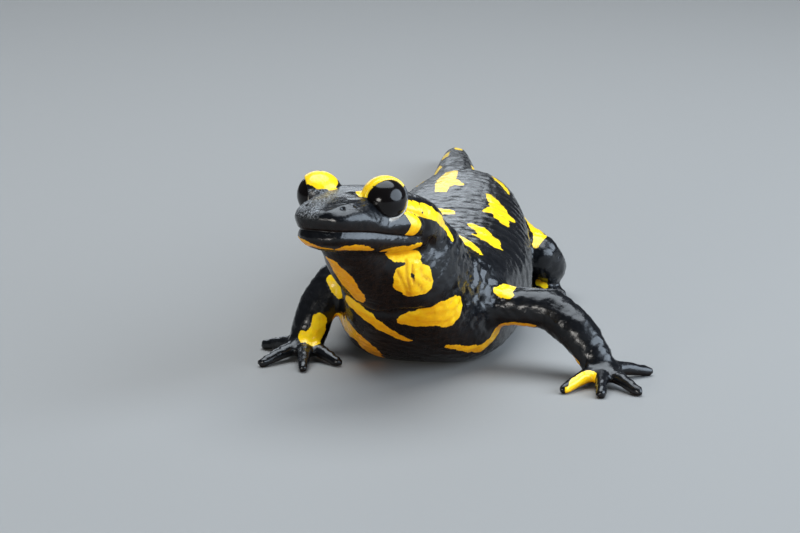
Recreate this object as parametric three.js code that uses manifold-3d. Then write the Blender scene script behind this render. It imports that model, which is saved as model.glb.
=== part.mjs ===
// Fire salamander, adult, at life size: a still museum-type model.
// It stands with its chest raised on the forelegs and its head turned to its own right.
// Millimetres, +Z up, floor at z = 0. The snout points towards -Y, the tail towards +Y
// and the animal's left is +X. The dimensions are drawn from a point under the snout, and
// the finished group is moved so that its origin is in the middle of its footprint.
//
// The body and the head are two lofts, the legs and digits are tapering tubes. They are
// parted by thin cuts where a person would name the parts, so that they meet but never touch.

import * as THREE from 'three';
import { mergeVertices } from 'three/addons/utils/BufferGeometryUtils.js';
import Module from 'manifold-3d';

const wasm = await Module();
wasm.setup();

// ---------------------------------------------------------------- driving dimensions

const GAP = 0.3;                 // clear space between neighbouring parts
const FLOOR_BITE = 0.2;          // how far a sole is cut flat
const EYE_RADIUS = 2.82;
const EYE_SIDE = 4.76;           // eye centre from the middle plane of the head
const EYE_CLEARANCE = 0.12;      // space between the eyeball and its socket
const EYE_SIDES = 14;
const LID_RADIUS = 2.8;
const LID_OFFSET = [-0.2, 4.5, 0.3];   // forward, sideways, up from between the eyes

const HEAD_CENTRE = [-6.17, 0.4, 27.2];   // midway between the eye centres
const HEAD_YAW = 27;             // degrees, towards the animal's right
const HEAD_PITCH = 4;            // degrees, snout up
const HEAD_ROLL = 1.5;           // degrees, the right side a little lower
const HEAD_SIDES = 24;
const HEAD_RINGS = 17;

const MOUTH_FRONT = -3.1;        // height of the mouth line at the snout
const MOUTH_SLOPE = 0.155;       // how it falls, per millimetre backwards
const MOUTH_REACH = 9;           // the mouth line's height is measured from here
const JAW_CORNER = -4.3;         // the corner of the mouth, forward of the eyes is positive

// The parotoid glands swell the head behind the eyes, low on its upper side.
const PAROTOID = { height: 0.4, forward: -8, length: 4.2, angle: 28, spread: 24 };

// Stations of the head: forward of the eyes, half width, top, widest level, bottom,
// and how square the section is (2 is an ellipse).
const HEAD_STATIONS = [
  { forward: -16.5, wide: 0.1, top: -5.6, middle: -5.8, bottom: -6.0, square: 2.2 },
  { forward: -15.5, wide: 4.4, top: -3.9, middle: -5.6, bottom: -7.6, square: 2.2 },
  { forward: -13.0, wide: 6.9, top: -1.9, middle: -5.0, bottom: -8.2, square: 2.3 },
  { forward: -10.0, wide: 8.1, top: -0.3, middle: -4.4, bottom: -8.2, square: 2.3 },
  { forward: -7.0, wide: 8.4, top: 0.6, middle: -3.9, bottom: -8.4, square: 2.4 },
  { forward: -4.0, wide: 8.0, top: 1.1, middle: -3.4, bottom: -8.0, square: 2.5 },
  { forward: -1.0, wide: 7.3, top: 1.2, middle: -3.0, bottom: -7.4, square: 2.7 },
  { forward: 2.5, wide: 6.1, top: 0.9, middle: -2.6, bottom: -6.8, square: 2.8 },
  { forward: 5.5, wide: 4.9, top: 0.3, middle: -2.4, bottom: -6.3, square: 2.8 },
  { forward: 7.6, wide: 3.7, top: -0.4, middle: -2.4, bottom: -5.5, square: 2.7 },
  { forward: 8.7, wide: 2.3, top: -1.2, middle: -2.6, bottom: -4.8, square: 2.4 },
  { forward: 9.0, wide: 0.1, top: -2.4, middle: -2.7, bottom: -3.2, square: 2.2 },
];

// Stations along the spine, from inside the head to the tip of the tail: the centre,
// half width, height above and depth below the centre.
const BODY_STATIONS = [
  { at: [-3.9, 5.5, 22.0], wide: 5.8, up: 3.9, down: 6.5 },
  { at: [-0.2, 10.5, 18.2], wide: 8.0, up: 6.0, down: 8.2 },
  { at: [1.5, 16.0, 13.8], wide: 8.9, up: 5.6, down: 10.0 },
  { at: [3.5, 23.0, 10.2], wide: 12.0, up: 7.2, down: 10.7 },
  { at: [4.6, 34.0, 8.8], wide: 14.0, up: 8.5, down: 9.4 },
  { at: [6.7, 48.0, 8.8], wide: 13.0, up: 8.8, down: 9.3 },
  { at: [8.9, 60.0, 9.2], wide: 10.7, up: 8.4, down: 9.2 },
  { at: [9.9, 70.0, 9.3], wide: 8.8, up: 7.8, down: 8.6 },
  { at: [9.7, 79.0, 8.3], wide: 7.0, up: 7.1, down: 7.2 },
  { at: [9.4, 93.0, 6.3], wide: 5.4, up: 5.4, down: 5.9 },
  { at: [9.8, 115.0, 4.7], wide: 4.5, up: 4.6, down: 4.9 },
  { at: [10.4, 138.0, 3.5], wide: 3.4, up: 3.5, down: 3.7 },
  { at: [10.9, 156.0, 2.4], wide: 2.4, up: 2.5, down: 2.6 },
  { at: [11.0, 163.0, 1.8], wide: 1.75, up: 1.85, down: 2.0 },
  { at: [11.0, 166.2, 1.3], wide: 0.95, up: 1.0, down: 1.1 },
  { at: [11.0, 167.0, 1.1], wide: 0.1, up: 0.15, down: 0.25 },
];
const BACK_SQUARE = 2.25;        // how square the section is above its widest level
const BELLY_SQUARE = 3.2;        // and below it, where the belly sags on the floor
const BODY_SIDES = 24;
const BODY_RINGS = 34;

// The full throat, from under the jaw down to the breast: its line and the radius along it.
const THROAT_LINE = [[-6.0, 1.4, 21.8], [-4.1, 6.0, 18.6], [-0.8, 11.5, 14.8]];
const THROAT_RADII = [4.5, 5.7, 6.7];
const THROAT_SIDES = 18;
const THROAT_RINGS = 8;

// Where the body is parted, as the centre's y at the cut.
const BODY_CUTS = { chest: 15.5, trunk: 29, hips: 62, tail: 82, tail_middle: 112, tail_tip: 140 };

// Legs. Each has an upper and a lower length, given by its centre line and the radius at
// each point, a palm resting on the floor, and its digits as direction and reach from it.
const LEG_SIDES = 10;
const LEG_RINGS = 5;
const DIGIT_SIDES = 6;
const DIGIT_RINGS = 3;
const PALM_SIDES = 9;
const DIGIT_ROOT_RADIUS = 1.2;
const DIGIT_TIP_RADIUS = 0.7;
const DIGIT_ARCH = 0.75;         // how far a digit's middle is raised
const PALM_HEIGHT = 1.7;
const PALM_THICKNESS = 1.8;      // half of it

const LEGS = [
  {
    names: ['upper_arm_left', 'forearm_left', 'hand_left'],
    upper: [[8.0, 20.0, 8.4], [14.0, 17.0, 8.8], [20.4, 15.6, 8.6]],
    upperRadii: [3.4, 2.85, 2.75],
    lower: [[20.4, 15.6, 8.6], [23.9, 12.8, 6.1], [26.3, 10.5, 3.0]],
    lowerRadii: [2.8, 2.7, 2.25],
    palm: [27.0, 9.9],
    palmRadius: 2.6,
    digits: [[-133, 7.9], [-95, 7.9], [-58, 8.0], [24, 7.2]],
  },
  {
    names: ['upper_arm_right', 'forearm_right', 'hand_right'],
    upper: [[0.0, 20.0, 10.0], [-4.5, 23.8, 10.4], [-8.9, 26.2, 10.0]],
    upperRadii: [3.2, 2.8, 2.85],
    lower: [[-8.9, 26.2, 10.0], [-11.3, 24.9, 6.8], [-12.7, 23.4, 3.2]],
    lowerRadii: [2.85, 2.75, 2.6],
    palm: [-13.2, 22.6],
    palmRadius: 2.7,
    digits: [[-48, 6.9], [-90, 7.9], [-136, 7.8], [146, 7.0]],
  },
  {
    names: ['thigh_left', 'shank_left', 'foot_left'],
    upper: [[12.5, 68.0, 8.0], [17.8, 61.4, 7.6], [21.3, 55.2, 7.1]],
    upperRadii: [4.0, 3.7, 3.0],
    lower: [[21.3, 55.2, 7.1], [22.7, 57.2, 4.8], [22.2, 60.4, 2.5]],
    lowerRadii: [3.0, 2.8, 2.3],
    palm: [21.6, 60.8],
    palmRadius: 2.8,
    digits: [[-134, 5.2], [-113, 7.2], [-94, 8.2], [-76, 7.8], [-57, 6.0]],
  },
  {
    names: ['thigh_right', 'shank_right', 'foot_right'],
    upper: [[6.5, 68.5, 8.0], [0.4, 65.4, 7.4], [-5.2, 61.8, 6.8]],
    upperRadii: [4.0, 3.7, 3.0],
    lower: [[-5.2, 61.8, 6.8], [-6.4, 65.4, 5.6], [-6.2, 69.6, 3.5]],
    lowerRadii: [3.0, 2.8, 2.3],
    palm: [-6.2, 70.4],
    palmRadius: 2.8,
    digits: [[-26, 6.0], [-60, 7.8], [-92, 8.6], [-122, 8.0], [-153, 6.2]],
  },
];

// ---------------------------------------------------------------- materials

const skin = (name) => new THREE.MeshStandardMaterial({
  name, color: 0x17181b, roughness: 0.35, metalness: 0,
});
const eyeball = () => new THREE.MeshStandardMaterial({
  name: 'eye', color: 0x060606, roughness: 0.05, metalness: 0,
});

// ---------------------------------------------------------------- curves and frames

// A cubic through the stations; the slope at each is that of the chord of its neighbours.
function throughStations(knots, values, at) {
  const last = knots.length - 1;
  const x = Math.min(Math.max(at, knots[0]), knots[last]);
  let i = 0;
  while (i < last - 1 && x > knots[i + 1]) i += 1;
  const slope = (k) => {
    const before = Math.max(k - 1, 0);
    const after = Math.min(k + 1, last);
    return (values[after] - values[before]) / (knots[after] - knots[before]);
  };
  const h = knots[i + 1] - knots[i];
  const t = (x - knots[i]) / h;
  return (2 * t ** 3 - 3 * t ** 2 + 1) * values[i] + (t ** 3 - 2 * t ** 2 + t) * h * slope(i)
    + (3 * t ** 2 - 2 * t ** 3) * values[i + 1] + (t ** 3 - t ** 2) * h * slope(i + 1);
}

// A centre line through points, with the distance run along it at each point.
function centreLine(points) {
  const run = [0];
  for (let i = 1; i < points.length; i += 1) {
    const step = new THREE.Vector3(...points[i]).distanceTo(new THREE.Vector3(...points[i - 1]));
    run.push(run[i - 1] + step);
  }
  const point = (s) => new THREE.Vector3(
    throughStations(run, points.map((p) => p[0]), s),
    throughStations(run, points.map((p) => p[1]), s),
    throughStations(run, points.map((p) => p[2]), s),
  );
  const length = run[run.length - 1];
  const step = length / 400;
  const tangent = (s) => point(Math.min(s + step, length)).sub(point(Math.max(s - step, 0))).normalize();
  return { run, length, point, tangent };
}

// One ring of a section: half width, height above and depth below, squareness.
function section(angle, wide, up, down, square) {
  const c = Math.cos(angle);
  const s = Math.sin(angle);
  const side = wide * Math.sign(c) * Math.abs(c) ** (2 / square);
  const height = (s >= 0 ? up : down) * Math.sign(s) * Math.abs(s) ** (2 / square);
  return [side, height];
}

// A closed skin over rings of points, each end drawn together in one point.
function skinRings(rings) {
  const sides = rings[0].length;
  const vertices = [];
  const triangles = [];
  rings.flat().forEach((p) => vertices.push(p.x, p.y, p.z));
  for (let i = 0; i + 1 < rings.length; i += 1) {
    for (let j = 0; j < sides; j += 1) {
      const k = (j + 1) % sides;
      const a = i * sides + j;
      const b = i * sides + k;
      const c = (i + 1) * sides + k;
      const d = (i + 1) * sides + j;
      triangles.push(a, b, c, a, c, d);
    }
  }
  [0, rings.length - 1].forEach((end) => {
    const middle = rings[end].reduce((sum, p) => sum.add(p), new THREE.Vector3());
    middle.divideScalar(sides);
    const tip = vertices.length / 3;
    vertices.push(middle.x, middle.y, middle.z);
    for (let j = 0; j < sides; j += 1) {
      const a = end * sides + j;
      const b = end * sides + (j + 1) % sides;
      triangles.push(...(end === 0 ? [tip, b, a] : [tip, a, b]));
    }
  });
  const geometry = new THREE.BufferGeometry();
  geometry.setAttribute('position', new THREE.Float32BufferAttribute(vertices, 3));
  geometry.setIndex(triangles);
  return geometry;
}

// ---------------------------------------------------------------- solids

function solidOf(geometry) {
  const bare = geometry.clone();
  bare.deleteAttribute('normal');
  bare.deleteAttribute('uv');
  const merged = mergeVertices(bare, 1e-4);
  const solid = new wasm.Manifold(new wasm.Mesh({
    numProp: 3,
    vertProperties: new Float32Array(merged.attributes.position.array),
    triVerts: new Uint32Array(merged.index.array),
  }));
  if (solid.volume() >= 0) return solid;
  merged.index.array.reverse();
  return new wasm.Manifold(new wasm.Mesh({
    numProp: 3,
    vertProperties: new Float32Array(merged.attributes.position.array),
    triVerts: new Uint32Array(merged.index.array),
  }));
}

function ball(radii, centre, sides) {
  const geometry = new THREE.SphereGeometry(1, sides, Math.round(sides * 0.65));
  geometry.scale(...radii);
  geometry.translate(...centre);
  return solidOf(geometry);
}

// ---------------------------------------------------------------- head

const yaw = THREE.MathUtils.degToRad(HEAD_YAW);
const pitch = THREE.MathUtils.degToRad(HEAD_PITCH);
const headForward = new THREE.Vector3(
  -Math.sin(yaw) * Math.cos(pitch), -Math.cos(yaw) * Math.cos(pitch), Math.sin(pitch));
const headLeft = new THREE.Vector3(Math.cos(yaw), -Math.sin(yaw), 0)
  .applyAxisAngle(headForward, -THREE.MathUtils.degToRad(HEAD_ROLL));
const headUp = new THREE.Vector3().crossVectors(headLeft, headForward).negate();

function inHead(forward, left, up) {
  return new THREE.Vector3(...HEAD_CENTRE)
    .addScaledVector(headForward, forward)
    .addScaledVector(headLeft, left)
    .addScaledVector(headUp, up);
}

// How far the parotoid gland swells the head at this place of a ring.
function parotoid(forward, angle) {
  const fromMiddle = Math.min(angle, Math.abs(Math.PI - angle));
  const along = (forward - PAROTOID.forward) / PAROTOID.length;
  const around = (THREE.MathUtils.radToDeg(fromMiddle) - PAROTOID.angle) / PAROTOID.spread;
  return angle < Math.PI ? PAROTOID.height * Math.exp(-(along ** 2) - around ** 2) : 0;
}

function headSolid(grow) {
  const knots = HEAD_STATIONS.map((station) => station.forward);
  const value = (key, forward) => throughStations(knots, HEAD_STATIONS.map((s) => s[key]), forward);
  const back = knots[0];
  const reach = knots[knots.length - 1] - back;
  const rings = [];
  for (let i = 0; i < HEAD_RINGS; i += 1) {
    const share = (1 - Math.cos(Math.PI * i / (HEAD_RINGS - 1))) / 2;
    const forward = back + reach * share;
    const middle = value('middle', forward);
    const ring = [];
    for (let j = 0; j < HEAD_SIDES; j += 1) {
      const angle = 2 * Math.PI * j / HEAD_SIDES;
      const swell = grow + parotoid(forward, angle);
      const [side, height] = section(angle,
        value('wide', forward) + swell,
        value('top', forward) - middle + swell,
        middle - value('bottom', forward) + grow,
        value('square', forward));
      ring.push(inHead(forward + grow * (2 * share - 1), side, middle + height));
    }
    rings.push(ring);
  }
  return solidOf(skinRings(rings));
}

function lidMound(side, grow) {
  const [forward, across, up] = LID_OFFSET;
  const centre = inHead(forward, side * across, up);
  return ball(Array(3).fill(LID_RADIUS + grow), centre.toArray(), EYE_SIDES);
}

function eyeSolid(side, grow) {
  const centre = inHead(0, side * EYE_SIDE, 0);
  return ball(Array(3).fill(EYE_RADIUS + grow), centre.toArray(), EYE_SIDES);
}

// The block of space below the mouth line and forward of the mouth's corners.
function jawSpace(shift) {
  const size = 40;
  const geometry = new THREE.BoxGeometry(size, size, size);
  const slope = Math.atan(MOUTH_SLOPE);
  const corner = MOUTH_FRONT - MOUTH_SLOPE * (MOUTH_REACH - JAW_CORNER);
  geometry.translate(size / 2 - shift, 0, -size / 2 + shift);
  geometry.rotateY(-slope);
  const place = new THREE.Matrix4().makeBasis(headForward, headLeft.clone().negate(), headUp);
  geometry.translate(JAW_CORNER, 0, corner);
  geometry.applyMatrix4(place.setPosition(...HEAD_CENTRE));
  return solidOf(geometry);
}

// ---------------------------------------------------------------- body

const spine = centreLine(BODY_STATIONS.map((station) => station.at));

function bodyFrame(s) {
  const ahead = spine.tangent(s);
  const up = new THREE.Vector3(0, 0, 1).addScaledVector(ahead, -ahead.z).normalize();
  const left = new THREE.Vector3().crossVectors(ahead, up);
  return { ahead, up, left };
}

function bodySolid(grow) {
  const value = (key, s) => throughStations(spine.run, BODY_STATIONS.map((p) => p[key]), s);
  const rings = [];
  for (let i = 0; i < BODY_RINGS; i += 1) {
    const s = spine.length * i / (BODY_RINGS - 1);
    const { up, left } = bodyFrame(s);
    const ring = [];
    for (let j = 0; j < BODY_SIDES; j += 1) {
      const [side, height] = section(2 * Math.PI * j / BODY_SIDES,
        value('wide', s) + grow, value('up', s) + grow, value('down', s) + grow,
        2 * j < BODY_SIDES ? BACK_SQUARE : BELLY_SQUARE);
      ring.push(spine.point(s).addScaledVector(left, side).addScaledVector(up, height));
    }
    rings.push(ring);
  }
  return solidOf(skinRings(rings));
}

// The distance along the spine where its centre reaches this y.
function spineAt(y) {
  let low = 0;
  let high = spine.length;
  while (high - low > 1e-4) {
    const middle = (low + high) / 2;
    if (spine.point(middle).y < y) low = middle;
    else high = middle;
  }
  return low;
}

// ---------------------------------------------------------------- cutting

// The part of a solid on the far side of a plane, half a gap away from it.
function beyond(solid, point, direction) {
  return solid.trimByPlane(direction.toArray(), direction.dot(point) + GAP / 2);
}

// The part of a solid between two planes, either of which may be left out.
function between(solid, from, to) {
  let part = solid;
  if (from) part = beyond(part, from.point, from.direction);
  if (to) part = beyond(part, to.point, to.direction.clone().negate());
  return part;
}

function aboveFloor(solid) {
  return solid.trimByPlane([0, 0, 1], 0);
}

// ---------------------------------------------------------------- legs

function tube(line, radii, sides, ringCount) {
  const path = centreLine(line);
  const rings = [];
  const axis = (s) => {
    const ahead = path.tangent(s);
    const across = new THREE.Vector3().crossVectors(ahead, new THREE.Vector3(0, 0, 1)).normalize();
    return { ahead, across, up: new THREE.Vector3().crossVectors(across, ahead) };
  };
  const ringAt = (s, shift, radius) => {
    const { ahead, across, up } = axis(s);
    const centre = path.point(s).addScaledVector(ahead, shift);
    return Array.from({ length: sides }, (unused, j) => {
      const angle = 2 * Math.PI * j / sides;
      return centre.clone()
        .addScaledVector(across, radius * Math.cos(angle))
        .addScaledVector(up, radius * Math.sin(angle));
    });
  };
  const ends = [60, 30].map(THREE.MathUtils.degToRad);
  const first = radii[0];
  const last = radii[radii.length - 1];
  ends.forEach((a) => rings.push(ringAt(0, -first * Math.sin(a), first * Math.cos(a))));
  for (let i = 0; i < ringCount; i += 1) {
    const s = path.length * i / (ringCount - 1);
    rings.push(ringAt(s, 0, throughStations(path.run, radii, s)));
  }
  ends.reverse().forEach((a) => {
    rings.push(ringAt(path.length, last * Math.sin(a), last * Math.cos(a)));
  });
  return solidOf(skinRings(rings));
}

// A digit from the palm outwards: root and tip rest on the floor, its middle is raised.
function digit(palm, [angle, length]) {
  const a = THREE.MathUtils.degToRad(angle);
  const along = (share, height) => [
    palm[0] + length * share * Math.cos(a), palm[1] + length * share * Math.sin(a), height];
  const tip = DIGIT_TIP_RADIUS - FLOOR_BITE / 2;
  const line = [along(0.12, PALM_HEIGHT), along(0.55, tip + DIGIT_ARCH), along(1, tip)];
  const radii = [DIGIT_ROOT_RADIUS, (DIGIT_ROOT_RADIUS + DIGIT_TIP_RADIUS) / 2, DIGIT_TIP_RADIUS];
  return tube(line, radii, DIGIT_SIDES, DIGIT_RINGS);
}

// The lengths of a leg give way to the part above them, which takes its room with the gap.
function legParts(leg, bodyRoom) {
  const grown = (radii) => radii.map((radius) => radius + GAP);
  const upper = tube(leg.upper, leg.upperRadii, LEG_SIDES, LEG_RINGS);
  const upperRoom = tube(leg.upper, grown(leg.upperRadii), LEG_SIDES, LEG_RINGS);
  const lower = tube(leg.lower, leg.lowerRadii, LEG_SIDES, LEG_RINGS);
  const lowerRoom = tube(leg.lower, grown(leg.lowerRadii), LEG_SIDES, LEG_RINGS);
  const palmRadii = [leg.palmRadius, leg.palmRadius, PALM_THICKNESS];
  let hand = ball(palmRadii, [...leg.palm, PALM_HEIGHT], PALM_SIDES);
  leg.digits.forEach((one) => {
    hand = hand.add(digit(leg.palm, one));
  });
  return [
    upper.subtract(bodyRoom),
    aboveFloor(lower.subtract(upperRoom).subtract(bodyRoom)),
    aboveFloor(hand.subtract(lowerRoom).subtract(upperRoom)),
  ];
}

// ---------------------------------------------------------------- the model

const salamander = new THREE.Group();

function place(name, solid, material) {
  const pieces = solid.decompose().sort((a, b) => b.volume() - a.volume());
  const { vertProperties, triVerts, numProp } = pieces[0].getMesh();
  const geometry = new THREE.BufferGeometry();
  const count = vertProperties.length / numProp;
  const position = new Float32Array(count * 3);
  for (let i = 0; i < count; i += 1) {
    for (let k = 0; k < 3; k += 1) position[3 * i + k] = vertProperties[i * numProp + k];
  }
  geometry.setAttribute('position', new THREE.BufferAttribute(position, 3));
  geometry.setIndex(new THREE.BufferAttribute(new Uint32Array(triVerts), 1));
  geometry.computeVertexNormals();
  const mesh = new THREE.Mesh(geometry, material);
  mesh.name = name;
  salamander.add(mesh);
}

// Head, lower jaw and eyes.
const sockets = eyeSolid(1, EYE_CLEARANCE).add(eyeSolid(-1, EYE_CLEARANCE));
const wholeHead = headSolid(0).add(lidMound(1, 0)).add(lidMound(-1, 0)).subtract(sockets);
place('head', wholeHead.subtract(jawSpace(GAP / 2)), skin('head'));
place('lower_jaw', wholeHead.intersect(jawSpace(-GAP / 2)), skin('lower_jaw'));
place('eye_left', eyeSolid(1, 0), eyeball());
place('eye_right', eyeSolid(-1, 0), eyeball());

// Neck, chest, trunk, hips and the three lengths of the tail.
const headRoom = headSolid(GAP).add(lidMound(1, GAP)).add(lidMound(-1, GAP));
const throat = (grow) => tube(
  THROAT_LINE, THROAT_RADII.map((radius) => radius + grow), THROAT_SIDES, THROAT_RINGS);
const torso = aboveFloor(bodySolid(0).add(throat(0))).subtract(headRoom);
const cutAt = (name) => {
  const s = spineAt(BODY_CUTS[name]);
  return { point: spine.point(s), direction: spine.tangent(s) };
};
const lengths = ['neck', ...Object.keys(BODY_CUTS)];
lengths.forEach((name, i) => {
  const from = i === 0 ? null : cutAt(name);
  const to = i + 1 < lengths.length ? cutAt(lengths[i + 1]) : null;
  place(name, between(torso, from, to), skin(name));
});

// Legs, each grown out of the room that the body leaves it.
const bodyRoom = bodySolid(GAP).add(throat(GAP)).add(headRoom);
LEGS.forEach((leg) => {
  legParts(leg, bodyRoom).forEach((solid, i) => place(leg.names[i], solid, skin(leg.names[i])));
});

// The origin goes to the middle of the footprint, at floor level.
const extent = new THREE.Box3().setFromObject(salamander);
const middle = extent.getCenter(new THREE.Vector3());
salamander.position.set(-middle.x, -middle.y, 0);

const model = new THREE.Group();
model.add(salamander);

export default model;
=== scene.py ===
import math

import bmesh
import bpy
import numpy as np
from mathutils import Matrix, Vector


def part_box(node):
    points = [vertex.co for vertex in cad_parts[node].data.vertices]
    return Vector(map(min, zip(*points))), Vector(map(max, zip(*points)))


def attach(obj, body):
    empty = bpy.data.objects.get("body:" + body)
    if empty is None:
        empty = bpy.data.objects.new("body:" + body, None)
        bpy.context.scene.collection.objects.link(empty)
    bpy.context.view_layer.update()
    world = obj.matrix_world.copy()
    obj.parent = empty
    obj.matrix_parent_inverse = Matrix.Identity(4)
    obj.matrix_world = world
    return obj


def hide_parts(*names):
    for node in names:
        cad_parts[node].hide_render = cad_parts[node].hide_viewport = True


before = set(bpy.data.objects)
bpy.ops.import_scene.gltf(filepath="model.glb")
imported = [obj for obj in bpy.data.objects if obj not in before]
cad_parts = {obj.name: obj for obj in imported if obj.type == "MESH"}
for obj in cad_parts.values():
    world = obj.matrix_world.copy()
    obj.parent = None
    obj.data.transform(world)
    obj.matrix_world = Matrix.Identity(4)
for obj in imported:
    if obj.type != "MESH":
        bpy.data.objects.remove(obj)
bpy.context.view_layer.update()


# -------------------- camera
# The viewer kneels in front of the animal and looks slightly down on its head from 30 cm,
# through a long lens. The middle of the view is before the throat, below the eyes and a
# little to the animal's left of them.
VIEW_DISTANCE = 0.300
VIEW_DOWN = math.radians(13.3)
VIEW_SHIFT = (0.00617, -0.0004, -0.009)  # of the view's middle from between the eyes
LENS_LENGTH = 105.3  # in millimetres, as the film's width
FILM_WIDTH = 36.0


def in_scene(name, data):
    """A new object in the scene that shows the given data."""
    made = bpy.data.objects.new(name, data)
    bpy.context.scene.collection.objects.link(made)
    return made


eye_corners = [tuple(corner) for name in ("eye_left", "eye_right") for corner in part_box(name)]
between_eyes = np.mean(eye_corners, axis=0)
view_middle = between_eyes + VIEW_SHIFT

lens = bpy.data.cameras.new("camera")
lens.sensor_width = FILM_WIDTH
lens.lens = LENS_LENGTH
lens.clip_start = 0.01
lens.clip_end = 10.0
camera = in_scene("camera", lens)
back_and_up = np.array([0.0, -math.cos(VIEW_DOWN), math.sin(VIEW_DOWN)])
camera.location = view_middle + VIEW_DISTANCE * back_and_up
camera.rotation_euler = (math.pi / 2 - VIEW_DOWN, 0.0, 0.0)
bpy.context.scene.camera = camera


# -------------------- head form
# The skull with its flesh: a flat wedge, broadest behind the eyes, with a blunt rounded
# snout. It is drawn in millimetres from the point midway between the eyes, as forward,
# left and up, and turned to the animal's right with the snout a little raised.
HEAD_YAW = math.radians(27.0)
HEAD_PITCH = math.radians(4.0)
HEAD_ROLL = math.radians(1.5)  # the right side a little lower
EYE_SIDE = 4.76  # from the middle of the head to the middle of an eye
EYE_RADIUS = 2.82
# the parotoid glands swell the head behind the eyes: how far out, where along the head and
# how long, how many degrees above its widest level and how broad
GLAND_RISE = 0.4
GLAND_FORWARD = -8.0
GLAND_LENGTH = 4.2
GLAND_ANGLE = 28.0
GLAND_SPREAD = 24.0
# the swellings over the eyes, which the lids are cut from
LID_PLACE = (-0.2, 4.55, 0.3)
LID_RADIUS = 2.6

# forward, half width, top, widest level, bottom, squareness of the section
HEAD_STATIONS = np.array([
    (-16.5, 0.1, -5.6, -5.8, -6.0, 2.2),
    (-15.5, 4.4, -3.9, -5.6, -7.6, 2.2),
    (-13.0, 6.9, -1.9, -5.0, -8.2, 2.3),
    (-10.0, 8.1, -0.3, -4.4, -8.2, 2.3),
    (-7.0, 8.4, 0.6, -3.9, -8.4, 2.4),
    (-4.0, 8.0, 1.1, -3.4, -8.0, 2.5),
    (-1.0, 7.3, 1.2, -3.0, -7.4, 2.7),
    (2.5, 6.1, 0.9, -2.6, -6.8, 2.8),
    (5.5, 4.9, 0.3, -2.4, -6.3, 2.8),
    (7.6, 3.7, -0.4, -2.4, -5.5, 2.7),
    (8.7, 2.3, -1.2, -2.6, -4.8, 2.4),
    (9.0, 0.1, -2.4, -2.7, -3.2, 2.2),
])

head_forward = np.array([
    -math.sin(HEAD_YAW) * math.cos(HEAD_PITCH),
    -math.cos(HEAD_YAW) * math.cos(HEAD_PITCH),
    math.sin(HEAD_PITCH),
])
level_left = np.array([math.cos(HEAD_YAW), -math.sin(HEAD_YAW), 0.0])
level_up = -np.cross(level_left, head_forward)
HEAD_AXES = np.array([
    head_forward,
    level_left * math.cos(HEAD_ROLL) + level_up * math.sin(HEAD_ROLL),
    level_up * math.cos(HEAD_ROLL) - level_left * math.sin(HEAD_ROLL),
])
HEAD_CENTRE = np.array([-6.17, 0.4, 27.2])


def from_head(points):
    """Centre plus forward, left and up times their axes: head millimetres to body millimetres."""
    return HEAD_CENTRE + np.asarray(points, float) @ HEAD_AXES


def to_head(points):
    """The three distances of each point from the head's centre, along the head's axes."""
    return (points - HEAD_CENTRE) @ HEAD_AXES.T


def through_stations(knots, values, at):
    """A cubic between stations; the slope at each is that of the chord between its neighbours."""
    knots = np.asarray(knots, float)
    values = np.asarray(values, float).reshape(len(knots), -1)
    order = np.arange(len(knots))
    before = np.maximum(order - 1, 0)
    after = np.minimum(order + 1, len(knots) - 1)
    slopes = (values[after] - values[before]) / (knots[after] - knots[before])[:, None]
    at = np.clip(at, knots[0], knots[-1])
    i = np.clip(np.searchsorted(knots, at, side="right") - 1, 0, len(knots) - 2)
    step = (knots[i + 1] - knots[i])[:, None]
    t = (at - knots[i])[:, None] / step
    return (
        (2 * t**3 - 3 * t**2 + 1) * values[i]
        + (t**3 - 2 * t**2 + t) * step * slopes[i]
        + (3 * t**2 - 2 * t**3) * values[i + 1]
        + (t**3 - t**2) * step * slopes[i + 1]
    )


def section(angles, wide, up, down, square):
    """Half width by cos to the power 2/square; height above or below by sin to that power."""
    c, s = np.cos(angles), np.sin(angles)
    side = wide * np.sign(c) * np.abs(c) ** (2 / square)
    height = np.where(s >= 0, up, down) * np.sign(s) * np.abs(s) ** (2 / square)
    return side, height


def bell(distance, width):
    """1 in the middle, falling on both sides as e to the minus square of distance over width."""
    return np.exp(-(distance / width) ** 2)


def head_grid(rows=90, columns=96):
    """Rows close up towards both ends like the cosine, each the section at its station; the
    glands are a bell along the head times a bell around its upper half."""
    share = (1 - np.cos(np.pi * np.linspace(0, 1, rows))) / 2
    forward = HEAD_STATIONS[0, 0] + share * (HEAD_STATIONS[-1, 0] - HEAD_STATIONS[0, 0])
    wide, top, middle, bottom, square = (
        through_stations(HEAD_STATIONS[:, 0], HEAD_STATIONS[:, 1:], forward).T[:, :, None]
    )
    angles = 2 * np.pi * np.arange(columns) / columns
    above = np.degrees(np.minimum(angles, np.abs(np.pi - angles)))
    swell = bell(forward[:, None] - GLAND_FORWARD, GLAND_LENGTH) * GLAND_RISE
    swell = np.where(angles < np.pi, swell * bell(above - GLAND_ANGLE, GLAND_SPREAD), 0.0)
    side, height = section(angles, wide + swell, top - middle + swell, middle - bottom, square)
    ahead = np.broadcast_to(forward[:, None], side.shape)
    return from_head(np.stack([ahead, side, middle + height], -1))


def ball_grid(centre, radii, rows=24, columns=32):
    """Latitude and longitude on an ellipsoid about its centre."""
    latitude = np.linspace(-np.pi / 2, np.pi / 2, rows)[:, None]
    longitude = 2 * np.pi * np.arange(columns) / columns
    unit = np.stack([
        np.cos(latitude) * np.cos(longitude),
        np.cos(latitude) * np.sin(longitude),
        np.sin(latitude) * np.ones(columns),
    ], -1)
    return np.asarray(centre) + unit * np.asarray(radii)


flesh = [head_grid()]
for side in (1, -1):
    lid_centre = from_head((LID_PLACE[0], side * LID_PLACE[1], LID_PLACE[2]))
    flesh.append(ball_grid(lid_centre, (LID_RADIUS,) * 3))


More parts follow.
